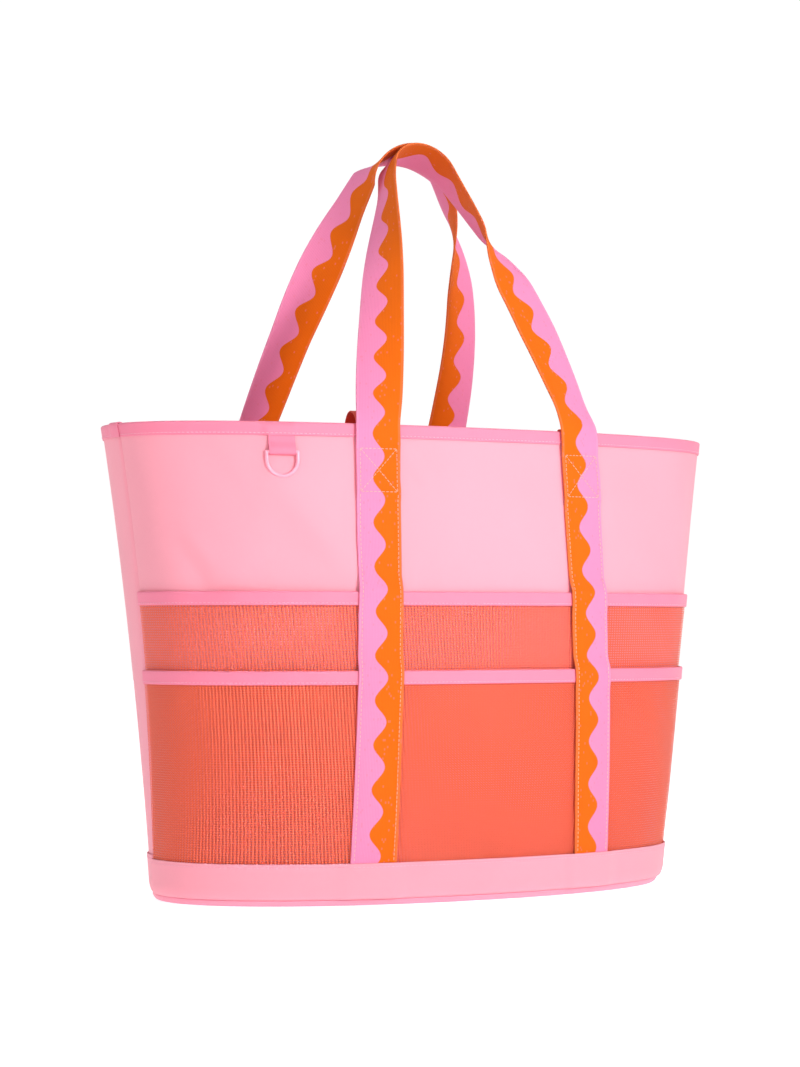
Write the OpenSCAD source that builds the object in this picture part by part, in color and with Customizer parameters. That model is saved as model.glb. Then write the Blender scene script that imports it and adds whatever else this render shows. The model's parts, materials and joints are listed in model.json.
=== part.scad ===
// Beach tote bag, millimetres. Two canvas panels are sewn together at the
// middle of each end and onto an oval base. +Z is up, the front (pocket side)
// faces -Y, and the origin is on the floor under the middle of the bag.

/* [Body] */
// Length of the bag at the rim
rim_len = 576; // [540:2:610]
// Length of the bag at half height
mid_len = 514; // [500:2:540]
// Length of the bag at the base
base_len = 486; // [470:2:500]
// Front-to-back depth at the rim
rim_dep = 226; // [210:2:240]
// Front-to-back depth at half height
mid_dep = 252; // [240:2:260]
// Front-to-back depth at the base
base_dep = 248; // [240:2:256]
// Height of the panels
bag_h = 395; // [385:1:405]
// Thickness of the canvas
canvas_t = 1.6; // [1.2:0.1:2.0]
// How far the side seams sit behind the middle at the base
seam_y_base = 14; // [6:1:18]
// How far the side seams sit in front of the middle at the rim
seam_y_rim = 12; // [6:1:18]

/* [Base] */
// Height of the top edge of the front base band
band_h = 35; // [30:1:42]
// How much higher the back base band reaches
back_band_rise = 3; // [0:0.5:5]
// Height of the bound edge under the band
edge_h = 5.6; // [5:0.1:7]
// Thickness of the stiffening board
board_t = 2.5; // [2:0.5:4]

/* [Pockets] */
// Height of the mouth of the tall pocket
tall_h = 257; // [250:1:265]
// Height of the mouth of the short pocket
short_h = 192; // [180:1:200]
// Thickness of the mesh
mesh_t = 0.8; // [0.6:0.1:1.0]
// Width of the binding tape on the rim and pockets
bind_w = 10; // [9:0.5:11]

/* [Straps and handles] */
// Width of the strap webbing
strap_w = 38; // [34:1:40]
// Thickness of the strap webbing
strap_t = 1.6; // [1.4:0.1:1.8]
// Distance of a strap's middle from the bag's middle, at the rim
strap_x_rim = 99; // [94:1:104]
// Distance of a strap's middle from the bag's middle, at the base
strap_x_base = 107; // [100:1:112]
// Height of the top of the front handle's arch, at the middle of its width
arch_z = 643; // [635:1:650]
// Radius of the front handle's arch
front_arch_r = 28; // [24:1:32]
// Radius of the back handle's arch, which passes over the front one
back_arch_r = 34; // [32:1:40]

/* [D-ring] */
// Place of the D-ring along the rim, left of the middle
ring_x = 181; // [170:1:190]
// Clear width inside the D-ring
ring_in = 23; // [22:0.5:24]
// Diameter of the D-ring's wire
wire_d = 3; // [2.8:0.1:3.2]
// Straight length of each arm of the D-ring
arm_len = 6.4; // [5:0.1:7]
// Visible length of the tab that holds the D-ring
tab_len = 14; // [13:0.5:15]

/* [Hidden] */

FRONT = -1;
BACK = 1;
LEFT = -1;
RIGHT = 1;

gap = 0.3;             // space left between two layers of fabric
tape_t = 0.8;          // thickness of binding and tab tape
backing_t = 1;         // thickness of the backing under each strap
mesh_foot = 8;         // meshes and straps end this high, inside the base band
tuck_r = 16;           // height over which the wall rounds in at the floor
tuck_in = 5;           // how far it rounds in
plan_pow = [2.1, 2.5, 2.4]; // fullness of the oval at base, middle and rim
wall_n = 56;           // stations along one panel
lap_n = 112;           // stations around the whole bag

canvas_c = "#ffafbe";
binding_c = "#ff8caf";
band_c = "#ffa5b9";
mesh_c = "#f4573f";
coral_c = "#f0503c";
pink_c = "#ff9bd0";
orange_c = "#ff7d28";

wall_z = [edge_h + gap, 12, 24, 50, 100, 150, 200, 250, 300, 345, bag_h];
fold_z = bag_h + 4;        // height of the fold where a handle leaves the bag
strap_top = fold_z - 0.5;
rim_layer = 2.9;           // offset of the strap where it passes over the rim binding
box_z0 = 338;              // box stitch that ties strap and backing to the panel
box_z1 = 377;

// ---- plan shape of the bag -------------------------------------------------
function quad3(v, t) = v[0]*(1 - t)*(1 - 2*t) + 4*v[1]*t*(1 - t) + v[2]*t*(2*t - 1);
function height_t(z) = min(z, bag_h)/bag_h;
function tuck(z) = z < tuck_r ? tuck_in*pow(1 - z/tuck_r, 2) : 0;
function half_a(z) = quad3([base_len, mid_len, rim_len], height_t(z))/2 - tuck(z);
function half_b(z) = quad3([base_dep, mid_dep, rim_dep], height_t(z))/2 - tuck(z);
function fullness(z) = quad3(plan_pow, height_t(z));
function spow(v, p) = sign(v)*pow(abs(v), p);
function mix(a, b, t) = a + (b - a)*t;
function smooth(t) = let (c = min(1, max(0, t))) c*c*(3 - 2*c);
function unit(v) = v/norm(v);
function seam_y(z) = mix(seam_y_base, -seam_y_rim, height_t(z));

// Angle along a panel, 0 at the left end and 180 at the right, for a given x or y
function psi_x(x, z) = acos(-spow(x/half_a(z), fullness(z)/2));
function psi_y(side, y, z) = side*sign(y)*asin(pow(abs(y)/half_b(z), fullness(z)/2));

// Outward normal of the wall, and a point at an offset outside it
function wall_xy(side, psi, z) = let (p = 2/fullness(z))
    [-half_a(z)*spow(cos(psi), p), side*half_b(z)*spow(sin(psi), p)];
function wall_nrm(side, psi, z) = let (q = wall_xy(side, psi, z), n = fullness(z) - 1)
    unit([spow(q[0]/half_a(z), n)/half_a(z), spow(q[1]/half_b(z), n)/half_b(z), 0]);
function wall(side, psi, z, off) = let (q = wall_xy(side, psi, z))
    [q[0], q[1], z] + off*wall_nrm(side, psi, z);
function lap(t, z, off) = t <= 180 ? wall(FRONT, t, z, off) : wall(BACK, 360 - t, z, off);
function span(side, i, n, z) = let (s = psi_y(side, seam_y(z), z)) mix(s, 180 - s, i/n);

// Straps run slightly outwards towards the base
function strap_x(z) = mix(strap_x_base, strap_x_rim, height_t(z));
function strap_pt(side, hand, w, z, off) =
    let (x = hand*strap_x(z), n = wall_nrm(side, psi_x(x, z), z))
    wall(side, psi_x(x + w*abs(n[1]), z), z, off);
function over_strap(x, z) = smooth((strap_w/2 + 12 - abs(abs(x) - strap_x(z)))/12);

// Offset of each layer's inner face, bottom to top
function tall_off(z) = mix(gap, 2*gap + tape_t, (z - band_h)/(tall_h - band_h));
function short_off(z) = mix(2*gap + mesh_t, 3.3, (z - band_h)/(short_h - band_h));
front_off = [[mesh_foot, 2.5], [band_h, 2.6], [short_h - bind_w - 6, 4.6], [short_h - bind_w - 1, 5.5],
             [short_h + 2, 5.5], [short_h + 12, 2.6], [tall_h - bind_w - 8, 2.8],
             [tall_h - bind_w - 1, 3.7], [tall_h + 2, 3.7], [tall_h + 14, 0.4], [box_z0 - 6, 0.4],
             [box_z0 - 1, 1.6], [box_z1, 1.6], [384, rim_layer], [strap_top, rim_layer]];
back_off = [[mesh_foot, 0.4], [box_z0 - 6, 0.4], [box_z0 - 1, 1.6], [box_z1, 1.6],
            [384, rim_layer], [strap_top, rim_layer]];
strap_z = concat([mesh_foot, 12, 24, band_h, 80, 130], [for (k = [2:11]) front_off[k][0]], [355],
                 [for (k = [12:14]) front_off[k][0]]);

// The pockets make the front deeper than the back, so the bag is moved back to
// put the origin under the middle of the whole
front_reach = max([for (z = strap_z) -strap_pt(FRONT, RIGHT, -strap_w/2, z,
                                               lookup(z, front_off) + strap_t)[1]]);
back_reach = max([for (z = strap_z) strap_pt(BACK, RIGHT, -strap_w/2, z,
                                             lookup(z, back_off) + strap_t)[1]]);
shift_y = (front_reach - back_reach)/2;

// ---- solids from grids of points ------------------------------------------
function tri(q, flip) = flip ? [[q[0], q[2], q[1]], [q[0], q[3], q[2]]]
                             : [[q[0], q[1], q[2]], [q[0], q[2], q[3]]];

// A sheet with thickness, between an outer and an inner grid of points
module slab(outer, inner, flip = false) {
    nu = len(outer);
    nv = len(outer[0]);
    m = nu*nv;
    quads = concat(
        [for (i = [0:nu - 2], j = [0:nv - 2]) let (a = i*nv + j, b = a + nv) [a, a + 1, b + 1, b]],
        [for (i = [0:nu - 2], j = [0:nv - 2]) let (a = m + i*nv + j, b = a + nv) [a, b, b + 1, a + 1]],
        [for (i = [0:nu - 2]) let (a = i*nv, b = a + nv) [a, b, m + b, m + a]],
        [for (i = [0:nu - 2]) let (a = i*nv + nv - 1, b = a + nv) [b, a, m + a, m + b]],
        [for (a = [0:nv - 2]) [a + 1, a, m + a, m + a + 1]],
        [for (j = [0:nv - 2]) let (a = (nu - 1)*nv + j) [a, a + 1, m + a + 1, m + a]]);
    polyhedron([for (r = concat(outer, inner)) each r],
               [for (q = quads) each tri(q, flip)], convexity = 8);
}

// A closed outline carried along stations, as an open length or as a ring
module sweep(rows, ring = false, flip = false) {
    n = len(rows);
    m = len(rows[0]);
    last = ring ? n - 1 : n - 2;
    sides = [for (i = [0:last], j = [0:m - 1])
        [i*m + j, i*m + (j + 1)%m, ((i + 1)%n)*m + (j + 1)%m, ((i + 1)%n)*m + j]];
    caps = ring ? [] : [[for (j = [m - 1:-1:0]) j], [for (j = [0:m - 1]) (n - 1)*m + j]];
    polyhedron([for (r = rows) each r],
               concat([for (q = sides) each tri(q, flip)],
                      [for (c = caps) flip ? [for (k = [m - 1:-1:0]) c[k]] : c]),
               convexity = 8);
}

// ---- parts -----------------------------------------------------------------
module panel(side) {
    color(canvas_c) slab(
        [for (i = [0:wall_n]) [for (z = wall_z) wall(side, span(side, i, wall_n, z), z, 0)]],
        [for (i = [0:wall_n]) [for (z = wall_z) wall(side, span(side, i, wall_n, z), z, -canvas_t)]],
        side == BACK);
}

// Tape that covers the raw edges inside a side seam
module seam_tape(hand) {
    reach = 7;
    zs = [12, 60, 120, 180, 240, 300, 350, bag_h - bind_w - 2];
    function at(k, z, off) = let (s = psi_y(FRONT, seam_y(z) - reach + 2*reach*k/4, z))
        wall(FRONT, hand == LEFT ? s : 180 - s, z, off);
    color(binding_c) slab(
        [for (k = [4:-1:0]) [for (z = zs) at(k, z, -canvas_t - gap)]],
        [for (k = [4:-1:0]) [for (z = zs) at(k, z, -canvas_t - gap - tape_t)]],
        hand == RIGHT);
}

module floor_outline(z, off) {
    polygon([for (i = [0:lap_n - 1]) let (p = lap(i*360/lap_n, z, off)) [p[0], p[1]]]);
}

module bottom_panel() {
    color(band_c) linear_extrude(canvas_t) floor_outline(0, -2 - gap);
}

module base_board() {
    color("#d8d2c8") translate([0, 0, canvas_t + gap]) linear_extrude(board_t) floor_outline(4, -7);
}

module base_band(side) {
    top = side == FRONT ? band_h : band_h + back_band_rise;
    zs = [edge_h + gap, 10, 16, 24, top];
    lie = side == FRONT ? 2.5 : 0.4;
    t = 1.2;
    over = strap_t + gap;
    n = 2*wall_n;
    function at(i, z, off) = let (s = span(side, i, n, z), x = wall_xy(side, s, z)[0])
        wall(side, s, z, lie + over*over_strap(x, z) + off);
    color(band_c) slab([for (i = [0:n]) [for (z = zs) at(i, z, t)]],
                       [for (i = [0:n]) [for (z = zs) at(i, z, 0)]], side == BACK);
}

module base_binding() {
    out = [[-2, 0], [0.6, 0], [1.9, 1.4], [1.9, edge_h - 1], [1, edge_h], [-2, edge_h]];
    color(binding_c) sweep([for (i = [0:lap_n - 1])
        [for (p = out) lap(i*360/lap_n, p[1], p[0])]], ring = true);
}

// Outline of a tape folded over an edge that lies between offsets a and b
function channel(a, b, top) = let (i0 = a - gap - tape_t, i1 = a - gap, o0 = b + gap,
                                   o1 = b + gap + tape_t, foot = top - bind_w, crown = top + gap)
    [[i0, foot], [i1, foot], [i1, crown], [o0, crown], [o0, foot], [o1, foot],
     [o1, crown + tape_t], [i0, crown + tape_t]];

module rim_binding() {
    out = channel(-canvas_t, 0, bag_h);
    color(binding_c) sweep([for (i = [0:lap_n - 1])
        [for (p = out) lap(i*360/lap_n, p[1], p[0])]], ring = true);
}

module pocket_mesh(top, short) {
    zs = concat([mesh_foot, 12, 24, band_h, 80, 120, 160], short ? [] : [200], [top - bind_w, top]);
    function at(i, z, off) = wall(FRONT, span(FRONT, i, wall_n, z), z,
                                  (short ? short_off(z) : tall_off(z)) + off);
    color(mesh_c) slab([for (i = [0:wall_n]) [for (z = zs) at(i, z, mesh_t)]],
                       [for (i = [0:wall_n]) [for (z = zs) at(i, z, 0)]]);
}

module pocket_binding(top, off) {
    color(binding_c) sweep([for (i = [0:wall_n])
        [for (p = channel(off, off + mesh_t, top))
            wall(FRONT, span(FRONT, i, wall_n, p[1]), p[1], p[0])]]);
}

module strap(side, hand) {
    layers = side == FRONT ? front_off : back_off;
    cols = [for (k = [-2:2]) k*strap_w/4];
    color(hand*side == 1 ? pink_c : orange_c) slab(
        [for (w = cols) [for (z = strap_z)
            strap_pt(side, hand, w, z, lookup(z, layers) + strap_t)]],
        [for (w = cols) [for (z = strap_z) strap_pt(side, hand, w, z, lookup(z, layers))]],
        side == BACK);
}

// Backing webbing under a strap: up the outside, over the rim and down the
// inside. The points are [offset, height] of its middle line.
snug_path = [[0.8, box_z0], [0.8, 378], [2.1, 384], [2.1, 394.6], [1.2, 397.1], [-1, 397.4],
             [-3.2, 397.1], [-3.5, 394.6], [-3.5, 384], [-2.5, 378], [-2.5, 345]];
loose_path = [[0.8, box_z0], [0.8, 378], [2.1, 384], [2.1, 394], [0.4, 399], [-3.4, 403.6],
              [-8.5, 406.6], [-14, 406.8], [-19.4, 404], [-23.4, 398], [-24.4, 390], [-21, 376],
              [-13, 362], [-5, 351], [-2.6, 343]];
function along(path, i) = unit(path[min(i + 1, len(path) - 1)] - path[max(i - 1, 0)]);
function shifted(path, i, d) = let (t = along(path, i)) path[i] + d*[t[1], -t[0]];

module backing(side, hand, path) {
    cols = [for (k = [-2:2]) k*(strap_w - 1)/4];
    function layer(d) = [for (w = cols) [for (i = [0:len(path) - 1])
        let (q = shifted(path, i, d)) strap_pt(side, hand, w, q[1], q[0])]];
    color(coral_c) slab(layer(backing_t/2), layer(-backing_t/2), side == BACK);
}

// ---- handles ---------------------------------------------------------------
// A handle lies in a plane that leans over the mouth from the fold at the rim.
// Its legs run up to a round arch and bow outwards a little, and the tape turns a
// quarter turn on its way up, so that it lies over the arch on its flat.
fold_y = -strap_pt(FRONT, RIGHT, 0, bag_h, rim_layer + strap_t/2)[1];
arch_y = 6.5;              // the arches meet a little behind the middle
arch_tilt = 21;            // the tape's slope across its width on the arch
nest = 3.2;                // the back arch lies this far over the front one
slide = 6;                 // and this far down its slope
fold_run = 40;             // length over which the tape squares up to its leg
back_arch = [arch_y + nest*sin(arch_tilt) + slide*cos(arch_tilt),
             arch_z + nest*cos(arch_tilt) - slide*sin(arch_tilt)];
front_bow = [1, 14];       // how far the left and the right leg bow outwards
back_bow = [8, 24];

// How far the tape has turned at each distance from the fold, left and right
front_turn_left = [[0, 5], [20, 13], [50, 28], [100, 45], [150, 55], [180, 67], [220, 87], [245, 97],
                   [298, 90]];
front_turn_right = [[0, 5], [20, 15], [50, 8], [100, 0], [150, 4], [180, 30], [200, 60], [220, 66],
                    [245, 72], [298, 90]];
back_turn_left = [[0, -5], [50, 2], [100, 8], [150, 34], [180, 51], [220, 69], [245, 75], [293, 90]];
back_turn_right = [[0, -5], [50, 3], [100, 16], [150, 30], [180, 45], [220, 66], [245, 73], [293, 90]];

module handle(side, apex, r, bow, turn_left, turn_right) {
    foot = [side*fold_y, fold_z];
    up = unit([0, apex[0] - foot[0], apex[1] - foot[1]]);
    reach = norm(apex - foot);
    mid = reach - r;
    to_mid = atan2(strap_x_rim, mid);
    leg_tilt = to_mid - asin(r/norm([strap_x_rim, mid]));
    leg = sqrt(pow(norm([strap_x_rim, mid]), 2) - r*r);
    half = leg + r*(90 - leg_tilt)*PI/180;
    // Middle line of the left half before it bows, by distance from the fold
    function flat(s) = s <= leg
        ? [-strap_x_rim + s*sin(leg_tilt), s*cos(leg_tilt)]
        : let (a = leg_tilt + (s - leg)/r*180/PI) [-r*cos(a), mid + r*sin(a)];
    function place(s) = let (e = min(s, 2*half - s), q = flat(e), out = sin(180*e/half),
                             x = s <= half ? q[0] - bow[0]*out : bow[1]*out - q[0])
        [x, foot[0], foot[1]] + q[1]*up;
    function turn(s) = s <= half ? lookup(s, turn_left) : 180 - lookup(2*half - s, turn_right);
    function row(s) = let (
        t = unit(place(min(s + 0.5, 2*half)) - place(max(s - 0.5, 0))),
        tilt = arch_tilt*smooth(min(s, 2*half - s)/200),
        raw = [cos(turn(s)), -sin(turn(s))*cos(tilt), sin(turn(s))*sin(tilt)],
        square = smooth(min(s, 2*half - s)/fold_run),
        w = unit(raw - t*(raw*t)*square),
        n = unit(cross(t, w)))
        [for (k = [[-1, -1], [1, -1], [1, 1], [-1, 1]])
            place(s) + w*k[0]*strap_w/2 + n*k[1]*strap_t/2];
    legs = [for (k = [0:20]) k*leg/20];
    arc = [for (k = [1:11]) leg + 2*k*(half - leg)/12];
    color(side == FRONT ? orange_c : pink_c)
        sweep([for (s = concat(legs, arc, [for (k = [20:-1:0]) 2*half - k*leg/20])) row(s)]);
}

// ---- D-ring ----------------------------------------------------------------
bar_off = 3.1;                       // the bar's middle stands this far off the canvas
bar_z = bag_h - bind_w - tab_len;    // height of the bar's middle
run_clear = 0.05;                    // the bar turns in the tab with this clearance
ring_psi = psi_x(-ring_x, bar_z);
ring_nrm = wall_nrm(FRONT, ring_psi, bar_z);
ring_yaw = atan2(ring_nrm[0], -ring_nrm[1]);
lean_p = wall(FRONT, psi_x(-ring_x, bag_h), bag_h, 0) - wall(FRONT, psi_x(-ring_x, 350), 350, 0);
ring_lean = atan2(-lean_p*ring_nrm, lean_p[2]);
ring_p = wall(FRONT, ring_psi, bar_z, bar_off);

// Local frame: X along the bar, -Y away from the bag, Z up the canvas
module at_ring() {
    translate(ring_p) rotate([0, 0, ring_yaw]) rotate([-ring_lean, 0, 0]) children();
}

module dring() {
    r = ring_in/2 + wire_d/2;
    color("#ffaebf") at_ring() {
        rotate([0, 90, 0]) cylinder(d = wire_d, h = 2*r, center = true, $fn = 48);
        for (sx = [-1, 1]) translate([sx*r, 0, 0]) {
            sphere(d = wire_d, $fn = 48);
            translate([0, 0, -arm_len]) cylinder(d = wire_d, h = arm_len, $fn = 48);
        }
        translate([0, 0, -arm_len]) rotate([90, 0, 0]) rotate([0, 0, 180])
            rotate_extrude(angle = 180, $fn = 96) translate([r, 0]) circle(d = wire_d, $fn = 48);
    }
}

module dring_tab() {
    r_in = wire_d/2 + run_clear;
    r_out = r_in + tape_t;
    w = ring_in - 0.8;
    top = tab_len - gap;
    lie = bar_off - gap;
    color(binding_c) at_ring() rotate([90, 0, 90]) linear_extrude(w, center = true) difference() {
        union() {
            circle(r = r_out, $fn = 48);
            polygon([[-r_out, 0], [r_out - 0.6, 0.6], [lie, 5], [lie, top], [lie - 2*tape_t, top],
                     [lie - 2*tape_t, 7]]);
        }
        circle(r = r_in, $fn = 48);
    }
}

module placed() {
    translate([0, shift_y, 0]) children();
}

placed() panel(FRONT);  // front_panel
placed() panel(BACK);  // back_panel
placed() seam_tape(LEFT);  // side_seam_tape_left
placed() seam_tape(RIGHT);  // side_seam_tape_right
placed() bottom_panel();
placed() base_board();
placed() base_band(FRONT);  // base_band_front
placed() base_band(BACK);  // base_band_back
placed() base_binding();
placed() rim_binding();
placed() pocket_mesh(tall_h, false);  // tall_pocket_mesh
placed() pocket_binding(tall_h, tall_off(tall_h));  // tall_pocket_binding
placed() pocket_mesh(short_h, true);  // short_pocket_mesh
placed() pocket_binding(short_h, short_off(short_h));  // short_pocket_binding
placed() strap(FRONT, LEFT);  // front_strap_left
placed() strap(FRONT, RIGHT);  // front_strap_right
placed() strap(BACK, LEFT);  // back_strap_left
placed() strap(BACK, RIGHT);  // back_strap_right
placed() backing(FRONT, LEFT, loose_path);  // backing_front_left
placed() backing(FRONT, RIGHT, snug_path);  // backing_front_right
placed() backing(BACK, LEFT, snug_path);  // backing_back_left
placed() backing(BACK, RIGHT, snug_path);  // backing_back_right
placed() handle(FRONT, [arch_y, arch_z], front_arch_r, front_bow, front_turn_left, front_turn_right);  // front_handle
placed() handle(BACK, back_arch, back_arch_r, back_bow, back_turn_left, back_turn_right);  // back_handle
placed() dring_tab();
placed() dring();
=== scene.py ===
"""Beach bag: the cloth, webbing, stitching and finishes around the CAD frame.

Lengths are in millimetres, as in the CAD model, until mesh_object() makes them metres.
"""
import json
import math

import bpy
import numpy as np
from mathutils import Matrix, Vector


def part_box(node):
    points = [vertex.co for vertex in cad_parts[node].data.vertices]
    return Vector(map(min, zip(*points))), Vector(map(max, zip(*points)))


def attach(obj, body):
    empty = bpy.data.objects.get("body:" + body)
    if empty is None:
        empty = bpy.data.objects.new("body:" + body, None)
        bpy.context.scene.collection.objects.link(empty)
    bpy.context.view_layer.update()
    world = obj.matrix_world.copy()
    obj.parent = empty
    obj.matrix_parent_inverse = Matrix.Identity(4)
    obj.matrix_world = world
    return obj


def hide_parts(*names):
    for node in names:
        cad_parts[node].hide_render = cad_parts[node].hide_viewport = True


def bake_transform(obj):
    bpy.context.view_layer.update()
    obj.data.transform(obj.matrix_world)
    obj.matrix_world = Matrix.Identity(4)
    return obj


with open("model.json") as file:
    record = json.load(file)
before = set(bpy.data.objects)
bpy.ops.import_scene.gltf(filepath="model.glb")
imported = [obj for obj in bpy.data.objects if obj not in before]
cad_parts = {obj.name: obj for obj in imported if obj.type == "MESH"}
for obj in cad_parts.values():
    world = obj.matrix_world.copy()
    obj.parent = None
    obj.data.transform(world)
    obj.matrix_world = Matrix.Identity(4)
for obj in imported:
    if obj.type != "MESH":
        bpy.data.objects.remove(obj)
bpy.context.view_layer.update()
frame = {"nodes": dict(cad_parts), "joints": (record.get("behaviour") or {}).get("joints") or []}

MM = 0.001
FRONT, BACK = -1, 1
LEFT, RIGHT = -1, 1

# ---- sizes ------------------------------------------------------------------
# The oval of the bag at base, middle height and rim
LENGTHS = (486, 514, 576)
DEPTHS = (248, 252, 226)
FULLNESS = (2.1, 2.5, 2.4)
BAG_H = 395
SEAM_Y = (14, -12)          # the side seams lean from behind the ends to in front of them
TUCK_R, TUCK_IN = 16, 5     # the wall rounds in at the floor
CANVAS_T = 1.6
TAPE_T = 0.8
BIND_W = 10
MESH_T = 0.8
MESH_FOOT = 8
GAP = 0.3
TALL_H, SHORT_H = 257, 192
BAND_H, BACK_BAND_RISE, BAND_T = 35, 3, 1.2
EDGE_H = 5.6
STRAP_W, STRAP_T = 38, 1.6
STRAP_X = (107, 99)         # middle of each strap at the base and at the rim
BACKING_T = 1
BOX_Z = (338, 377)          # the box stitch that ties strap and backing to the panel
RIM_LAYER = 2.9             # how far out a strap passes over the rim binding
FOLD_Z = BAG_H + 4          # a handle leaves the bag here
STRAP_TOP = FOLD_Z - 0.5
RING_X, RING_IN, WIRE_D, TAB_LEN, BAR_OFF = 181, 23, 3, 14, 3.1

# The pockets push the front out, so the oval's middle isn't the origin
shift_y = (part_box("front_panel")[0].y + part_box("back_panel")[1].y)/2/MM


# ---- plan shape of the bag --------------------------------------------------
def quad3(v, t):
    return v[0]*(1 - t)*(1 - 2*t) + 4*v[1]*t*(1 - t) + v[2]*t*(2*t - 1)


def height_t(z):
    return np.minimum(z, BAG_H)/BAG_H


def tuck(z):
    return TUCK_IN*np.clip(1 - np.asarray(z, float)/TUCK_R, 0, None)**2


def half_a(z):
    return quad3(LENGTHS, height_t(z))/2 - tuck(z)


def half_b(z):
    return quad3(DEPTHS, height_t(z))/2 - tuck(z)


def fullness(z):
    return quad3(FULLNESS, height_t(z))


def spow(v, p):
    return np.sign(v)*np.abs(v)**p


def mix(a, b, t):
    return a + (b - a)*t


def smooth(t):
    t = np.clip(t, 0, 1)
    return t*t*(3 - 2*t)


def unit(v):
    return v/np.linalg.norm(v, axis=-1, keepdims=True)


def seam_y(z):
    return mix(*SEAM_Y, height_t(z))


def psi_x(x, z):
    return np.arccos(-spow(x/half_a(z), fullness(z)/2))


def psi_y(side, y, z):
    return side*np.sign(y)*np.arcsin(np.abs(y/half_b(z))**(fullness(z)/2))


def wall_xy(side, psi, z):
    p = 2/fullness(z)
    return -half_a(z)*spow(np.cos(psi), p), side*half_b(z)*spow(np.sin(psi), p)


def lengths(points):
    """Distance along a line of points."""
    return np.concatenate([[0], np.cumsum(np.linalg.norm(np.diff(points, axis=0), axis=1))])


def even_steps(side, z=160):
    """Shares of a panel's angle, and the shares of its length that they reach."""
    share = np.linspace(0, 1, 1501)
    s = psi_y(side, seam_y(z), z)
    reach = lengths(np.stack(wall_xy(side, mix(s, math.pi - s, share), z), -1))
    return share, reach


EVEN = {side: even_steps(side) for side in (FRONT, BACK)}
PANEL_W = EVEN[FRONT][1][-1]


def span(side, f, z):
    """Angle at a share f of a panel's length, from its left seam to its right one."""
    share, reach = EVEN[side]
    s = psi_y(side, seam_y(z), z)
    return mix(s, math.pi - s, np.interp(f, reach/reach[-1], share))


def wall_nrm(side, psi, z):
    x, y = wall_xy(side, psi, z)
    n = fullness(z) - 1
    nx, ny = spow(x/half_a(z), n)/half_a(z), spow(y/half_b(z), n)/half_b(z)
    size = np.hypot(nx, ny)
    return nx/size, ny/size


# Soft folds of the canvas: (x, z) of both ends, half width and how far out they stand
FRONT_FOLDS = [
    ((-186, 350), (-122, 272), 13, 3.0),
    ((-224, 378), (-200, 330), 10, 1.2),
    ((-262, 306), (-238, 262), 7, -2.6),
    ((-248, 300), (-216, 266), 8, 1.6),
    ((-226, 352), (-176, 290), 20, -1.8),
    ((-80, 380), (-56, 352), 6, 1.5),
    ((-78, 352), (-48, 374), 7, -1.0),
    ((-70, 284), (-72, 260), 4, 0.9),
    ((-57, 286), (-58, 260), 4, -0.8),
    ((-43, 284), (-42, 260), 4, 0.9),
    ((-14, 390), (10, 330), 24, -1.6),
    ((24, 334), (66, 268), 20, 1.7),
    ((122, 356), (146, 300), 12, 1.5),
    ((150, 300), (168, 264), 9, -1.0),
    ((180, 384), (200, 300), 18, -1.5),
    ((234, 350), (224, 270), 10, 1.3),
    ((-225, 150), (-190, 60), 26, 1.2),
    ((-40, 170), (20, 90), 40, 1.0),
    ((170, 160), (205, 70), 26, 1.0),
]
BACK_FOLDS = [
    ((-235, 370), (-200, 250), 18, 1.4),
    ((-214, 330), (-170, 190), 16, -1.2),
    ((-150, 260), (-140, 90), 24, 1.1),
    ((-60, 370), (-20, 220), 26, 1.3),
    ((-8, 300), (20, 120), 22, -1.2),
    ((50, 260), (62, 90), 20, 1.0),
    ((150, 350), (186, 210), 20, 1.4),
    ((196, 300), (214, 120), 18, -1.2),
    ((120, 330), (128, 200), 9, -0.7),
    ((-126, 336), (-128, 250), 8, -0.6),
]


def ridge(x, z, a, b, width, rise):
    """A soft ridge along the line from a to b, which fades past its ends."""
    (ax, az), (bx, bz) = a, b
    dx, dz = bx - ax, bz - az
    size = math.hypot(dx, dz)
    s = ((x - ax)*dx + (z - az)*dz)/size
    d = ((x - ax)*dz - (z - az)*dx)/size
    past = np.maximum(np.maximum(-s, s - size), 0)
    return rise*np.exp(-(d/width)**2 - (past/(1.6*width))**2)


def folds(side, x, z):
    """How far the slack canvas stands out from the oval."""
    front = sum(ridge(x, z, *f) for f in FRONT_FOLDS)
    back = sum(ridge(x, z, *f) for f in BACK_FOLDS)
    drift = 0.35*np.sin(x/31 + 1.3*np.sin(z/47)) + 0.25*np.sin(x/17.3 - z/38 + 2) + 0.2*np.sin(z/23 + x/71)
    calm = smooth((z - BAND_H - 6)/50)*smooth((BAG_H + 8 - z)/40)*smooth((half_a(z) - np.abs(x) - 3)/26)
    return calm*(np.where(side == FRONT, front, back) + drift)


def wall(side, psi, z, off):
    """A point at an offset outside the canvas."""
    x, y = wall_xy(side, psi, z)
    nx, ny = wall_nrm(side, psi, z)
    out = off + folds(side, x, z)
    return np.stack(np.broadcast_arrays(x + out*nx, y + out*ny + shift_y, z), -1).astype(float)


def wall_out(side, psi, z):
    nx, ny = wall_nrm(side, psi, z)
    return np.stack(np.broadcast_arrays(nx, ny, 0*z), -1).astype(float)


def lap(t, z, off):
    """A point at angle t around the whole bag, from the left end over the front."""
    t = np.mod(t, 2*math.pi)
    front = t <= math.pi
    return wall(np.where(front, FRONT, BACK), np.where(front, t, 2*math.pi - t), z, off)


def lap_out(t, z):
    t = np.mod(t, 2*math.pi)
    front = t <= math.pi
    return wall_out(np.where(front, FRONT, BACK), np.where(front, t, 2*math.pi - t), z)


def strap_x(z):
    return mix(*STRAP_X, height_t(z))


def strap_psi(hand, w, z):
    x = hand*strap_x(z)
    return psi_x(x + w*np.abs(wall_nrm(FRONT, psi_x(x, z), z)[1]), z)


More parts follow.
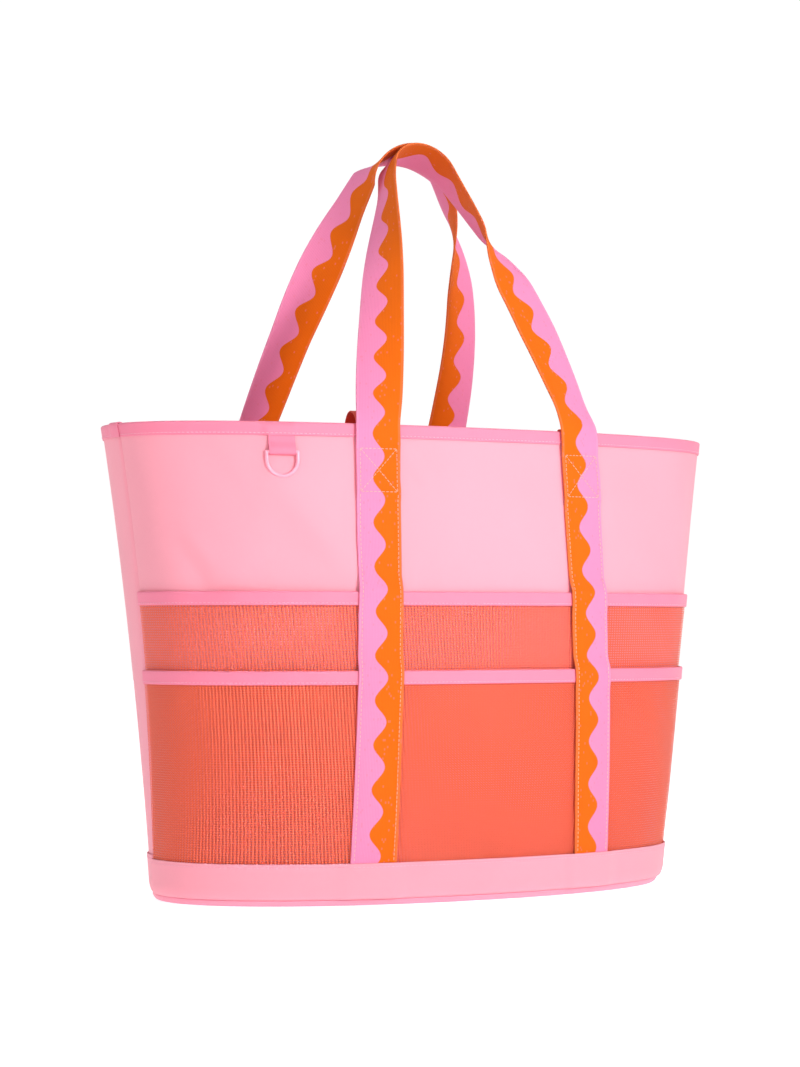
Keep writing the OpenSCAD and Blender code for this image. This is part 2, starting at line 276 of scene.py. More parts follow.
def strap_pt(side, hand, w, z, off):
    return wall(side, strap_psi(hand, w, z), z, off)


def over_strap(x, z):
    return smooth((STRAP_W/2 + 12 - np.abs(np.abs(x) - strap_x(z)))/12)


SEAM_W, SEAM_D = 2.6, 1.8   # half width and depth of the groove at a side seam


def seam_dip(f):
    """How far the layers draw in where they meet at a side seam."""
    d = np.minimum(f, 1 - f)*PANEL_W
    return SEAM_D*np.exp(-(d/SEAM_W)**2)


def gape(x, z, top, left, middle, right):
    """How far a pocket's mouth stands off, in each of its three stretches between straps."""
    s = strap_x(z)
    end = half_a(z)
    out = 0
    for low, high, rise in ((-end, -s, left), (-s, s, middle), (s, end, right)):
        inside = np.clip((x - low)/(high - low), 0, 1)
        edge = smooth((x - low - STRAP_W/2 - 2)/30)*smooth((high - x - STRAP_W/2 - 2)/30)
        out = out + rise*edge*np.sin(math.pi*inside)**0.6
    return out*smooth((z - top + 75)/75)


def tall_gape(x, z):
    return gape(x, z, TALL_H, 3.4, 1.1, 1.4)


def short_gape(x, z):
    return tall_gape(x, z) + gape(x, z, SHORT_H, 1.6, 1.3, 1.2)


def tall_off(z):
    return mix(GAP, 2*GAP + TAPE_T, (z - BAND_H)/(TALL_H - BAND_H))


def short_off(z):
    return mix(2*GAP + MESH_T, 3.3, (z - BAND_H)/(SHORT_H - BAND_H))


# Offset of each strap's inner face: over the pockets' bindings, the backing and the rim
FRONT_OFF = [(MESH_FOOT, 2.5), (BAND_H, 2.6), (SHORT_H - BIND_W - 6, 4.6), (SHORT_H - BIND_W - 1, 5.5),
             (SHORT_H + 2, 5.5), (SHORT_H + 12, 2.6), (TALL_H - BIND_W - 8, 2.8),
             (TALL_H - BIND_W - 1, 3.7), (TALL_H + 2, 3.7), (TALL_H + 14, 0.4), (BOX_Z[0] - 6, 0.4),
             (BOX_Z[0] - 1, 1.6), (BOX_Z[1], 1.6), (384, RIM_LAYER), (STRAP_TOP, RIM_LAYER)]
BACK_OFF = [(MESH_FOOT, 0.4), (BOX_Z[0] - 6, 0.4), (BOX_Z[0] - 1, 1.6), (BOX_Z[1], 1.6),
            (384, RIM_LAYER), (STRAP_TOP, RIM_LAYER)]


def strap_off(side, z):
    table = np.array(FRONT_OFF if side == FRONT else BACK_OFF)
    return sum(np.interp(z + d, table[:, 0], table[:, 1]) for d in (-1.5, 0, 1.5))/3


# ---- mesh tools -------------------------------------------------------------
SHARP_ANGLE = 55            # degrees between faces from which an edge is drawn sharp


def mesh_object(name, points, faces, uv, material):
    """An object from points and face-corner UVs in millimetres."""
    mesh = bpy.data.meshes.new(name)
    mesh.from_pydata((np.asarray(points)*MM).tolist(), [], faces)
    layer = mesh.uv_layers.new(name="Cloth")
    layer.data.foreach_set("uv", (np.asarray(uv, float)*MM).ravel())
    mesh.polygons.foreach_set("use_smooth", [True]*len(mesh.polygons))
    mesh.set_sharp_from_angle(angle=math.radians(SHARP_ANGLE))
    mesh.materials.append(material)
    obj = bpy.data.objects.new(name, mesh)
    bpy.context.scene.collection.objects.link(obj)
    return obj


def volume(points, quads):
    a, b, c, d = (points[quads[:, k]] for k in range(4))
    return (np.einsum("ij,ij", a, np.cross(b, c)) + np.einsum("ij,ij", a, np.cross(c, d)))/6


def sweep(name, rows, along, around, material, ring=False):
    """A closed outline carried along rows, as a ring or as a length with closed ends.
    An outline runs out along one face and back along the other, so that the ends close in pairs."""
    n, m = rows.shape[:2]
    along = np.asarray(along, float)
    i, j = (g.ravel() for g in np.meshgrid(np.arange(n if ring else n - 1), np.arange(m), indexing="ij"))
    up, on = (i + 1) % n, (j + 1) % m
    quads = np.stack([i*m + j, i*m + on, up*m + on, up*m + j], -1)
    uv = np.stack([np.stack([along[k], around[g]], -1) for k, g in
                   ((i, j), (i, on), (i + 1, on), (i + 1, j))], 1)
    if not ring:
        k = np.arange(m//2 - 1)
        pair = [k, k + 1, m - 2 - k, m - 1 - k]
        for row, order in ((0, (3, 2, 1, 0)), (n - 1, (0, 1, 2, 3))):
            quads = np.concatenate([quads, row*m + np.stack([pair[c] for c in order], -1)])
            ends = [np.stack([np.full(len(k), along[row]), around[pair[c]]], -1) for c in order]
            uv = np.concatenate([uv, np.stack(ends, 1)])
    points = rows.reshape(-1, 3)
    if volume(points, quads) < 0:
        quads, uv = quads[:, ::-1], uv[:, ::-1]
    return mesh_object(name, points, quads.tolist(), uv, material)


def ribbon(path, thick, tips=2):
    """Closed outline of a strip about a 2-D path, with round ends, and each point's place along it."""
    path = np.asarray(path, float)
    ahead = unit(np.gradient(path, axis=0))
    out = np.stack([ahead[:, 1], -ahead[:, 0]], -1)*thick/2
    place = np.concatenate([[0], np.cumsum(np.linalg.norm(np.diff(path, axis=0), axis=1))])
    turn = (np.arange(tips) + 0.5)/tips*math.pi/2

    def tip(k, way, face):
        return [path[k] + way*ahead[k]*thick/2*math.cos(a) + face*out[k]*math.sin(a) for a in turn]

    start, end = place[0] - thick/2*np.cos(turn), place[-1] + thick/2*np.cos(turn)
    outline = tip(0, -1, 1) + list(path + out) + tip(-1, 1, 1)[::-1]
    outline += tip(-1, 1, -1) + list(path - out)[::-1] + tip(0, -1, -1)[::-1]
    places = np.concatenate([start, place, end[::-1], end, place[::-1], start[::-1]])
    return np.array(outline), places


def arc(middle, radius, start, end, steps):
    """Points along an arc, with angles in degrees."""
    a = np.radians(np.linspace(start, end, steps + 1))
    return [(middle[0] + radius*c, middle[1] + radius*s) for c, s in zip(np.cos(a), np.sin(a))]


def line(a, b, steps):
    return [tuple(p) for p in np.linspace(a, b, steps + 1)]


def smoothed(path, rounds=2):
    """Cuts the corners of a path, and keeps its ends."""
    path = np.asarray(path, float)
    for _ in range(rounds):
        cut = np.stack([0.75*path[:-1] + 0.25*path[1:], 0.25*path[:-1] + 0.75*path[1:]], 1).reshape(-1, 2)
        path = np.concatenate([path[:1], cut[1:-1], path[-1:]])
    return path


# ---- stitches ---------------------------------------------------------------
STITCH_PITCH, STITCH_L, THREAD_R = 3.6, 2.7, 0.27
STITCH_X = np.array([-0.5, -0.4, -0.15, 0.15, 0.4, 0.5])*STITCH_L
STITCH_R = np.array([0.4, 0.85, 1, 1, 0.85, 0.4])*THREAD_R
STITCH_RISE = np.array([-0.8, 0.05, 0.5, 0.5, 0.05, -0.8])*THREAD_R
THREAD_SIDES = 6
# How far each row of stitches stands in from the edge that it follows
TAPE_INSET, STRAP_INSET, BAND_INSET, SEAM_INSET, BOX_INSET = 1.5, 2.2, 2.6, 1.6, 2.6
BOX_PITCH = 3.3             # of the box stitch, a little closer than the rest


def stitch_run(points, normals, pitch=STITCH_PITCH):
    """Stitches along a line of points on a face, as rings of points (stitch, ring, side, xyz)."""
    place = lengths(points)
    count = max(1, int(place[-1]/pitch))
    at = (np.arange(count) + 0.5)*place[-1]/count

    def along(values, s):
        return np.stack([np.interp(s, place, values[:, k]) for k in range(3)], -1)

    t = unit(along(points, at + 0.4) - along(points, at - 0.4))
    n = along(normals, at)
    n = unit(n - t*np.sum(n*t, -1, keepdims=True))
    b = np.cross(t, n)
    a = np.arange(THREAD_SIDES)/THREAD_SIDES*2*math.pi
    x = STITCH_X[:, None] + 0*a
    y = STITCH_RISE[:, None] + STITCH_R[:, None]*np.sin(a)
    z = STITCH_R[:, None]*np.cos(a)
    centre = along(points, at)
    return (centre[:, None, None] + x[None, :, :, None]*t[:, None, None]
            + y[None, :, :, None]*n[:, None, None] + z[None, :, :, None]*b[:, None, None])


def stitches(name, runs, material):
    """One object from several runs of stitches."""
    rings = np.concatenate(runs)
    count, n, m = rings.shape[:3]
    i, j = (g.ravel() for g in np.meshgrid(np.arange(n - 1), np.arange(m), indexing="ij"))
    on = (j + 1) % m
    quads = np.stack([i*m + j, i*m + on, (i + 1)*m + on, (i + 1)*m + j], -1)
    uv = np.stack([np.stack([STITCH_X[a], THREAD_R*b], -1) for a, b in
                   ((i, j), (i, j + 1), (i + 1, j + 1), (i + 1, j))], 1).reshape(-1, 2)
    caps = [list(range(m))[::-1], list(range((n - 1)*m, n*m))]
    caps_uv = np.array([[STITCH_X[k], 0] for k in [0]*m + [n - 1]*m])
    points = rings.reshape(-1, 3)
    if volume(rings[0].reshape(-1, 3), quads) < 0:
        quads, uv = quads[:, ::-1], uv.reshape(-1, 4, 2)[:, ::-1].reshape(-1, 2)
        caps = [c[::-1] for c in caps]
    faces = []
    for k in range(count):
        faces += (quads + k*n*m).tolist() + [[v + k*n*m for v in c] for c in caps]
    uvs = np.tile(np.concatenate([uv, caps_uv]), (count, 1))
    return mesh_object(name, points, faces, uvs, material)


# ---- materials --------------------------------------------------------------
def srgb(r, g, b):
    """A linear colour from 8-bit sRGB."""
    return tuple(c/12.92 if c <= 0.04045 else ((c + 0.055)/1.055)**2.4 for c in (r/255, g/255, b/255)) + (1,)


class Shader:
    """A material's nodes."""

    def __init__(self, name, **surface):
        self.material = bpy.data.materials.new(name)
        self.material.use_nodes = True
        self.tree = self.material.node_tree
        self.tree.nodes.clear()
        self.surface = self.add("BsdfPrincipled")
        for socket, value in surface.items():
            self.surface.inputs[socket.replace("_", " ")].default_value = value
        self.put(self.add("OutputMaterial").inputs[0], self.surface.outputs[0])

    def add(self, kind, **settings):
        node = self.tree.nodes.new("ShaderNode" + kind)
        for key, value in settings.items():
            setattr(node, key, value)
        return node

    def put(self, socket, value):
        if isinstance(value, bpy.types.NodeSocket):
            self.tree.links.new(value, socket)
        else:
            socket.default_value = value

    def math(self, kind, *values, clamp=False):
        node = self.add("Math", operation=kind, use_clamp=clamp)
        for socket, value in zip(node.inputs, values):
            self.put(socket, value)
        return node.outputs[0]

    def mix(self, share, a, b):
        node = self.add("Mix", data_type="RGBA")
        for k, value in ((0, share), (6, a), (7, b)):
            self.put(node.inputs[k], value)
        return node.outputs[2]

    def cloth(self):
        """Coordinates along and across the cloth, in millimetres."""
        parts = self.add("SeparateXYZ")
        self.put(parts.inputs[0], self.add("UVMap", uv_map="Cloth").outputs[0])
        return [self.math("MULTIPLY", parts.outputs[k], 1/MM) for k in (0, 1)]

    def place(self, u, v):
        node = self.add("CombineXYZ")
        self.put(node.inputs[0], u)
        self.put(node.inputs[1], v)
        return node.outputs[0]

    def noise(self, size, detail=2, where=None):
        """Noise with features of a size in millimetres, from 0 to 1."""
        node = self.add("TexNoise")
        self.put(node.inputs["Vector"], where or self.add("TexCoord").outputs["Object"])
        node.inputs["Scale"].default_value = 1/size if where else 1/(size*MM)
        node.inputs["Detail"].default_value = detail
        return node.outputs[0]

    def wave(self, coordinate, pitch):
        """The size of a sine wave with one hump per pitch."""
        return self.math("ABSOLUTE", self.math("SINE", self.math("MULTIPLY", coordinate, math.pi/pitch)))

    def weave(self, u, v, pitch_u, pitch_v):
        """Height of a plain weave, from 0 in its gaps to 1 on its threads."""
        swing = [self.math("SINE", self.math("MULTIPLY", c, math.pi/p))
                 for c, p in ((u, pitch_u), (v, pitch_v))]
        over = self.math("GREATER_THAN", self.math("MULTIPLY", *swing), 0)
        a, b = (self.math("ABSOLUTE", s) for s in swing)
        along = self.math("MULTIPLY", a, self.math("POWER", b, 0.35))
        across = self.math("MULTIPLY", self.math("POWER", a, 0.35), b)
        return self.math("ADD", self.math("MULTIPLY", over, along),
                         self.math("MULTIPLY", self.math("SUBTRACT", 1, over), across))

    def shade(self, colour, dark, share):
        """Painted shade: darkens a colour by a share of its way to a darker one."""
        amount = self.math("MULTIPLY", share, dark, clamp=True)
        return self.mix(amount, colour, self.mix(0.8, colour, (0, 0, 0, 1)))

    def finish(self, colour, height, depth, strength=1):
        """Sets the colour, and a relief of a depth in millimetres."""
        self.put(self.surface.inputs["Base Color"], colour)
        bump = self.add("Bump")
        bump.inputs["Strength"].default_value = strength
        bump.inputs["Distance"].default_value = depth*MM
        self.put(bump.inputs["Height"], height)
        self.put(self.surface.inputs["Normal"], bump.outputs[0])
        return self.material


def scaled(colour, factor):
    return tuple(c*factor for c in colour[:3]) + (1,)


def varied(sh, colour, large=0.05, fine=0.04):
    """A colour with broad and fine unevenness."""
    broad = sh.mix(sh.noise(90), scaled(colour, 1 - large), scaled(colour, 1 + large))
    return sh.mix(sh.math("MULTIPLY", sh.noise(4, 4), fine), broad, scaled(colour, 0.55))


def inverse(sh, value):
    return sh.math("SUBTRACT", 1, value)


def canvas_cloth(name, colour):
    """Coated plain-weave canvas."""
    sh = Shader(name, Roughness=0.6, Specular_IOR_Level=0.35, Sheen_Weight=0.12, Sheen_Roughness=0.5)
    u, v = sh.cloth()
    h = sh.weave(u, v, 0.62, 0.62)
    slub = sh.noise(1, 2, sh.place(sh.math("MULTIPLY", u, 0.12), sh.math("MULTIPLY", v, 1.6)))
    # Painted shade in the gaps of the weave.
    tone = sh.shade(varied(sh, colour), inverse(sh, h), 0.16)
    tone = sh.mix(sh.math("MULTIPLY", slub, 0.1), tone, scaled(colour, 1.12))
    return sh.finish(tone, sh.math("ADD", h, sh.math("MULTIPLY", slub, 0.5)), 0.05, 0.7)


def tape_cloth(name, colour, second):
    """Ribbed binding tape, unevenly blended towards a second colour."""
    sh = Shader(name, Roughness=0.55, Specular_IOR_Level=0.4, Sheen_Weight=0.15, Sheen_Roughness=0.45)
    u, v = sh.cloth()
    h = sh.weave(u, v, 0.55, 0.9)
    # Painted shade in the gaps of the weave.
    tone = sh.shade(varied(sh, colour), inverse(sh, h), 0.2)
    worn = sh.math("SMOOTH_MIN", sh.noise(14, 3), 1, 0.2)
    tone = sh.mix(sh.math("MULTIPLY", worn, 0.16), tone, second)
    return sh.finish(tone, h, 0.07, 0.7)


def mesh_cloth(name, colour, light, pitch_u, pitch_v):
    """Coated yarns of an open mesh: round, with painted shade at their sides and a painted highlight where
    they cross.
    """
    sh = Shader(name, Roughness=0.5, Specular_IOR_Level=0.45, Sheen_Weight=0.1, Sheen_Roughness=0.4)
    u, v = sh.cloth()
    across, along = (inverse(sh, sh.wave(c, p)) for c, p in ((u, pitch_u), (v, pitch_v)))
    h = sh.math("MAXIMUM", across, along)
    knot = sh.math("MULTIPLY", across, along)
    twist = sh.wave(sh.math("ADD", u, v), 0.45)
    # Painted shade: the yarns darker at their sides, away from their tops.
    tone = sh.shade(varied(sh, colour, 0.05, 0.05), inverse(sh, h), 0.42)
    # Painted highlight: the lighter second colour at the crossings, where the yarns stand highest.
    tone = sh.mix(sh.math("MULTIPLY", knot, 0.6), tone, light)
    return sh.finish(tone, sh.math("ADD", h, sh.math("MULTIPLY", twist, 0.15)), 0.3, 0.8)


WAVE_L, WAVE_A = 36.7, 5.3  # the scallops' pitch along the webbing and half height across it
WAVE_START = {FRONT: 12.7, BACK: 32.1}      # place in the pattern at each tape's left foot
WAVE_SLIP = {FRONT: -16.7, BACK: -12.9}     # how far the pattern has slipped by its right foot


def wave_webbing(name, pink, orange):
    """Webbing woven in two colours with a wavy line between them."""
    sh = Shader(name, Roughness=0.65, Specular_IOR_Level=0.12, Sheen_Weight=0.02, Sheen_Roughness=0.4)
    u, v = sh.cloth()
    line_v = sh.math("MULTIPLY", sh.math("SINE", sh.math("MULTIPLY", u, 2*math.pi/WAVE_L)), WAVE_A)
    ragged = sh.math("MULTIPLY", sh.noise(1, 2, sh.place(sh.math("MULTIPLY", u, 1.2), v)), 0.5)
    side = sh.math("SUBTRACT", sh.math("ADD", v, ragged), line_v)
    is_orange = sh.math("MULTIPLY", side, 3, clamp=True)
    h = sh.weave(u, v, 0.95, 1.3)
    cell = sh.add("TexWhiteNoise", noise_dimensions="2D")
    sh.put(cell.inputs["Vector"], sh.place(sh.math("FLOOR", sh.math("DIVIDE", u, 1.9)),
                                           sh.math("FLOOR", sh.math("DIVIDE", v, 1.3))))
    speck = sh.math("GREATER_THAN", cell.outputs["Value"], 0.975)
    edge = sh.math("GREATER_THAN", sh.math("ABSOLUTE", v), STRAP_W/2 - 1.6)
    tone = sh.mix(is_orange, varied(sh, pink, 0.04, 0.05), varied(sh, orange, 0.04, 0.05))
    other = sh.mix(is_orange, orange, pink)
    tone = sh.mix(sh.math("MULTIPLY", speck, 0.16), tone, other)
    # Painted highlight: a pale pink blended in along both edges of the webbing.
    tone = sh.mix(sh.math("MULTIPLY", edge, 0.05), tone, (1, 0.75, 0.75, 1))
    # Painted shade in the gaps of the weave.
    tone = sh.shade(tone, inverse(sh, h), 0.22)
    return sh.finish(tone, sh.math("SUBTRACT", h, sh.math("MULTIPLY", edge, 0.3)), 0.16, 0.8)


def plain_webbing(name, colour):
    sh = Shader(name, Roughness=0.6, Specular_IOR_Level=0.35, Sheen_Weight=0.2, Sheen_Roughness=0.4)
    u, v = sh.cloth()
    h = sh.weave(u, v, 1.3, 0.95)
    # Painted shade in the gaps of the weave.
    return sh.finish(sh.shade(varied(sh, colour, 0.06, 0.08), inverse(sh, h), 0.35), h, 0.18, 0.8)


def sewing_thread(name, colour):
    sh = Shader(name, Roughness=0.45, Specular_IOR_Level=0.5, Sheen_Weight=0.15)
    u, v = sh.cloth()
    ply = sh.wave(sh.math("ADD", u, v), 0.42)
    # Painted shade in the grooves between the plies.
    return sh.finish(sh.shade(varied(sh, colour), inverse(sh, ply), 0.3), ply, 0.08, 0.8)


def ring_enamel(name, colour):
    sh = Shader(name, Roughness=0.3, Specular_IOR_Level=0.5, Coat_Weight=0.35, Coat_Roughness=0.2)
    grain = sh.noise(1.2, 3)
    return sh.finish(sh.mix(sh.noise(9), scaled(colour, 0.97), scaled(colour, 1.03)), grain, 0.02, 0.4)


def board_sheet(name, colour):
    sh = Shader(name, Roughness=0.75, Specular_IOR_Level=0.3)
    grain = sh.noise(2.2, 5)
    tone = sh.mix(sh.noise(60), scaled(colour, 0.95), scaled(colour, 1.03))
    return sh.finish(sh.mix(sh.math("MULTIPLY", grain, 0.15), tone, scaled(colour, 0.7)), grain, 0.15, 0.6)


def studio_floor(name, colour):
    sh = Shader(name, Roughness=0.9, Specular_IOR_Level=0.1, Emission_Color=(1, 1, 1, 1),
                Emission_Strength=FLOOR_GLOW)
    grain = sh.noise(3, 3)
    return sh.finish(sh.mix(sh.noise(700), colour, scaled(colour, 0.985)), grain, 0.05, 0.2)


MESH_PITCH = (2.8, 2.05)    # of the pockets' mesh, along the bag and up it
FLOOR_GLOW = 0.62           # lifts the floor to the white of the backdrop
CANVAS = canvas_cloth("canvas", srgb(250, 160, 177))
BASE_CANVAS = canvas_cloth("base_canvas", srgb(250, 160, 177))
BINDING = tape_cloth("binding", srgb(250, 132, 162), srgb(255, 152, 180))
# Painted light: the binding's colours made lighter for the bottom edge, to offset the shade that falls
# there.
LIGHTENED_EDGE_BINDING = tape_cloth("lightened_edge_binding", srgb(252, 156, 180), srgb(255, 172, 194))
# The second colour is the painted highlight at the mesh's crossings.
MESH = mesh_cloth("mesh", srgb(255, 96, 68), srgb(255, 150, 108), *MESH_PITCH)
WEBBING = wave_webbing("wave_webbing", srgb(251, 142, 186), srgb(238, 106, 6))
CORAL = plain_webbing("coral_webbing", srgb(250, 84, 60))
THREAD = sewing_thread("thread", srgb(255, 172, 196))
BOX_THREAD = sewing_thread("box_thread", srgb(255, 186, 166))
RING = ring_enamel("ring_enamel", srgb(255, 165, 188))
BOARD = board_sheet("board", srgb(222, 216, 206))
FLOOR = studio_floor("studio_floor", (0.85, 0.85, 0.85, 1))


# ---- the sewn body ----------------------------------------------------------
def steps_along(step):
    """Shares of a panel's length, closer together where it dips into its seams."""
    near = np.array([0, 0.7, 1.4, 2.2, 3.2, 4.4, 6, 8.5, 12])
    middle = np.linspace(16, PANEL_W - 16, int((PANEL_W - 32)/step) + 1)
    return np.concatenate([near, middle, (PANEL_W - near)[::-1]])/PANEL_W


def panel_rows(side, f, outline, extra=None):
    """Rows of an outline of [offset, height] points along a panel."""
    off, z = outline[None, :, 0], outline[None, :, 1]
    psi = span(side, f[:, None], z)
    off = off - seam_dip(f)[:, None]
    if extra:
        off = off + extra(wall_xy(side, psi, z)[0], z)
    return wall(side, psi, z, off)


def canvas_panel(side, name, node):
    f = steps_along(4.2)
    outline, place = ribbon(line((-CANVAS_T/2, EDGE_H + GAP), (-CANVAS_T/2, BAG_H), 86), CANVAS_T)
    panel = sweep(name, panel_rows(side, f, outline), f*PANEL_W, place, CANVAS)
    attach(panel, "bag")
    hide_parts(node)


def seam_tape(hand, name, node):
    """Tape over the raw edges inside a side seam, and its two rows of stitches."""
    width = 14
    z = np.linspace(12, BAG_H - BIND_W - 2, 90)[:, None]
    outline, place = ribbon(line((-width/2, 0), (width/2, 0), 8), TAPE_T)
    mid_off = -CANVAS_T - GAP - TAPE_T/2

    def at(across, off, z):
        s = psi_y(FRONT, seam_y(z) + across, z)
        psi = s if hand == LEFT else math.pi - s
        return wall(FRONT, psi, z, off - SEAM_D*np.exp(-(across/SEAM_W)**2)), wall_out(FRONT, psi, z)

    rows = at(outline[None, :, 0], mid_off + outline[None, :, 1], z)[0]
    tape = sweep(name, rows, z[:, 0], place, BINDING)
    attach(tape, "bag")
    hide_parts(node)
    runs = []
    for across in (-width/2 + SEAM_INSET, width/2 - SEAM_INSET):
        points, out = at(across, mid_off - TAPE_T/2, z[:, 0])
        runs.append(stitch_run(points, -out))
    return runs


def pocket_mesh(name, node, top, offset, bulge):
    """Open mesh, one layer thick: crossing yarns with holes between, alternately raised and sunk."""
    pitch_u, pitch_v = MESH_PITCH
    yarn, relief = 0.2, 0.16    # half a yarn's width as a share of the pitch, and its rise
    count = np.array([round(PANEL_W/pitch_u), round((top - MESH_FOOT)/pitch_v)])
    side_u, side_v = ((np.arange(2*c + 2)//2 + np.tile([-yarn, yarn], c + 1)).clip(0, c) for c in count)
    f, z = side_u[:, None]/count[0], MESH_FOOT + side_v[None, :]/count[1]*(top - MESH_FOOT)
    i, j = np.meshgrid(np.arange(len(side_u)), np.arange(len(side_v)), indexing="ij")
    over = np.where((i//2 + j//2) % 2, relief, -relief)
    psi = span(FRONT, f, z)
    off = offset(z) + MESH_T/2 + over + bulge(wall_xy(FRONT, psi, z)[0], z) - seam_dip(f)
    rows = wall(FRONT, psi, z, off)
    n, m = rows.shape[:2]
    i, j = i[:-1, :-1].ravel(), j[:-1, :-1].ravel()
    solid = (i % 2 == 0) | (j % 2 == 0)
    i, j = i[solid], j[solid]
    corners = ((i, j), (i + 1, j), (i + 1, j + 1), (i, j + 1))
    quads = np.stack([a*m + b for a, b in corners], -1)
    uv = np.stack([np.stack([side_u[a]*pitch_u, side_v[b]*pitch_v], -1) for a, b in corners], 1)
    mesh = mesh_object(name, rows.reshape(-1, 3), quads.tolist(), uv, MESH)
    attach(mesh, "bag")
    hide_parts(node)


def folded_tape(inner, outer, top, foot):
    """Path of a tape folded over an edge, from its inner foot over the top to its outer foot."""
    r = (outer - inner)/2
    return (line((inner, foot), (inner, top - r), 5)
            + arc((inner + r, top - r), r, 180, 0, 6)[1:-1] + line((outer, top - r), (outer, foot), 6))


def pocket_tape(name, node, top, offset, bulge):
    """Binding over a pocket's top edge, and its row of stitches."""
    off = offset(top)
    path = folded_tape(off - GAP - TAPE_T/2, off + MESH_T + GAP + TAPE_T/2, top + GAP + TAPE_T/2,
                       top - BIND_W)
    outline, place = ribbon(path, TAPE_T)
    f = steps_along(3)
    tape = sweep(name, panel_rows(FRONT, f, outline, extra=bulge), f*PANEL_W, place, BINDING)
    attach(tape, "bag")
    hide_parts(node)
    z = top - BIND_W + TAPE_INSET
    psi = span(FRONT, f, z)
    face = off + MESH_T + GAP + TAPE_T - seam_dip(f) + bulge(wall_xy(FRONT, psi, z)[0], z)
    return stitch_run(wall(FRONT, psi, z, face)[2:-2], wall_out(FRONT, psi, z)[2:-2])


def base_band(side, name, node):
    """Band of canvas round the foot of the bag, over the ends of the pockets and straps."""
    top = BAND_H if side == FRONT else BAND_H + BACK_BAND_RISE
    lie = 2.5 if side == FRONT else 0.4
    middle = BAND_T/2
    path = smoothed([(middle - 1.5, EDGE_H + 0.5), (middle - 0.3, EDGE_H + 0.9), (middle, EDGE_H + 2.6),
                     *line((middle, 11), (middle, top - 3), 5), (middle, top)])
    outline, place = ribbon(path, BAND_T)
    f = steps_along(3)

    def lift(x, z):
        return lie + (STRAP_T + GAP)*over_strap(x, z)

    rows = panel_rows(side, f, outline, extra=lift)
    band = sweep(name, rows, f*PANEL_W, place, BASE_CANVAS)
    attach(band, "bag")
    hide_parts(node)
    z = top - BAND_INSET
    psi = span(side, f, z)
    face = BAND_T + lift(wall_xy(side, psi, z)[0], z) - seam_dip(f)
    return stitch_run(wall(side, psi, z, face)[2:-2], wall_out(side, psi, z)[2:-2])


def edge_tape():
    """Bound edge round the bottom."""
    a = np.linspace(0, 2*math.pi, 24, endpoint=False)
    round_in = 0.7
    off = -0.05 + 1.95*spow(np.cos(a), round_in)
    z = EDGE_H/2*(1 + spow(np.sin(a), round_in))
    t = np.linspace(0, 2*math.pi, 420, endpoint=False)
    rows = lap(t[:, None], z[None, :], off[None, :])
    around = lengths(np.stack([off, z], -1))
    along = np.linspace(0, 2*PANEL_W, len(t) + 1)
    tape = sweep("edge_tape", rows, along, around, LIGHTENED_EDGE_BINDING, ring=True)
    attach(tape, "bag")
    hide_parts("base_binding")


def tab_swell(x, y):
    """How far the rim binding stands out over the D-ring's tab."""
    return 1.5*smooth((RING_IN/2 + 3.5 - np.abs(x + RING_X + 1))/4)*(y < 0)


LAP_RISE = 1.0              # how far the end of the rim binding stands over its start


def rim_tape():
    """Binding folded over the rim. It starts at the left seam, and its end laps over its start."""
    path = folded_tape(-CANVAS_T - GAP - TAPE_T/2, GAP + TAPE_T/2, BAG_H + GAP + TAPE_T/2, BAG_H - BIND_W)
    outline, place = ribbon(path, TAPE_T)
    start = psi_y(FRONT, seam_y(BAG_H), BAG_H)
    t = start + np.linspace(0, 2*math.pi + 0.012, 620)
    lap_from = start + 2*math.pi - 0.085
    over = smooth((t - lap_from)/0.02)[:, None]
    middle = -CANVAS_T/2
    off, z = outline[None, :, 0], outline[None, :, 1]
    outer = np.clip((off - middle)/0.5, -1, 1)
    crown = smooth((z - BAG_H + 2)/2.5)
    x, y = wall_xy(FRONT, t[:, None], BAG_H)
    off = off + LAP_RISE*over*outer + tab_swell(x, y)*(outer > 0)*(1 - crown)
    tape = sweep("rim_tape", lap(t[:, None], z + LAP_RISE*over*crown, off), t*PANEL_W/math.pi, place,
                 BINDING)
    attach(tape, "bag")
    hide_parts("rim_binding")
    t = start + np.linspace(0.01, 2*math.pi - 0.1, 700)
    z = BAG_H - BIND_W + TAPE_INSET
    x, y = wall_xy(FRONT, t, z)
    outside = lap(t, z, GAP + TAPE_T + tab_swell(x, y))
    inside = lap(t, z, -CANVAS_T - GAP - TAPE_T)
    return [stitch_run(outside, lap_out(t, z)), stitch_run(inside, -lap_out(t, z))]


def bottom_cloth():
    """The bag's floor, a cloth cut to the oval."""
    u = np.sin(np.linspace(-1, 1, 70)*math.pi/2)*0.9995
    outline, place = ribbon(line((-1, 0), (1, 0), 40), 0.0)
    keep = [k for k in range(len(place)) if 2 <= k % (len(place)//2) < len(place)//2 - 2]
    v = outline[keep, 0]
    edge = 2 + GAP
    a, b, n = half_a(0) - edge, half_b(0) - edge, fullness(0)
    x = a*u[:, None] + 0*v[None, :]
    y = b*(1 - np.abs(u)**n)[:, None]**(1/n)*v[None, :]
    top = np.arange(len(v)) >= len(v)//2
    z = np.where(top, CANVAS_T, 0.05)[None, :] + 0*x
    rows = np.stack([x, y + shift_y, z], -1)
    floor = sweep("bottom_cloth", rows, a*u, v*b, BASE_CANVAS)
    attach(floor, "bag")
    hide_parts("bottom_panel")


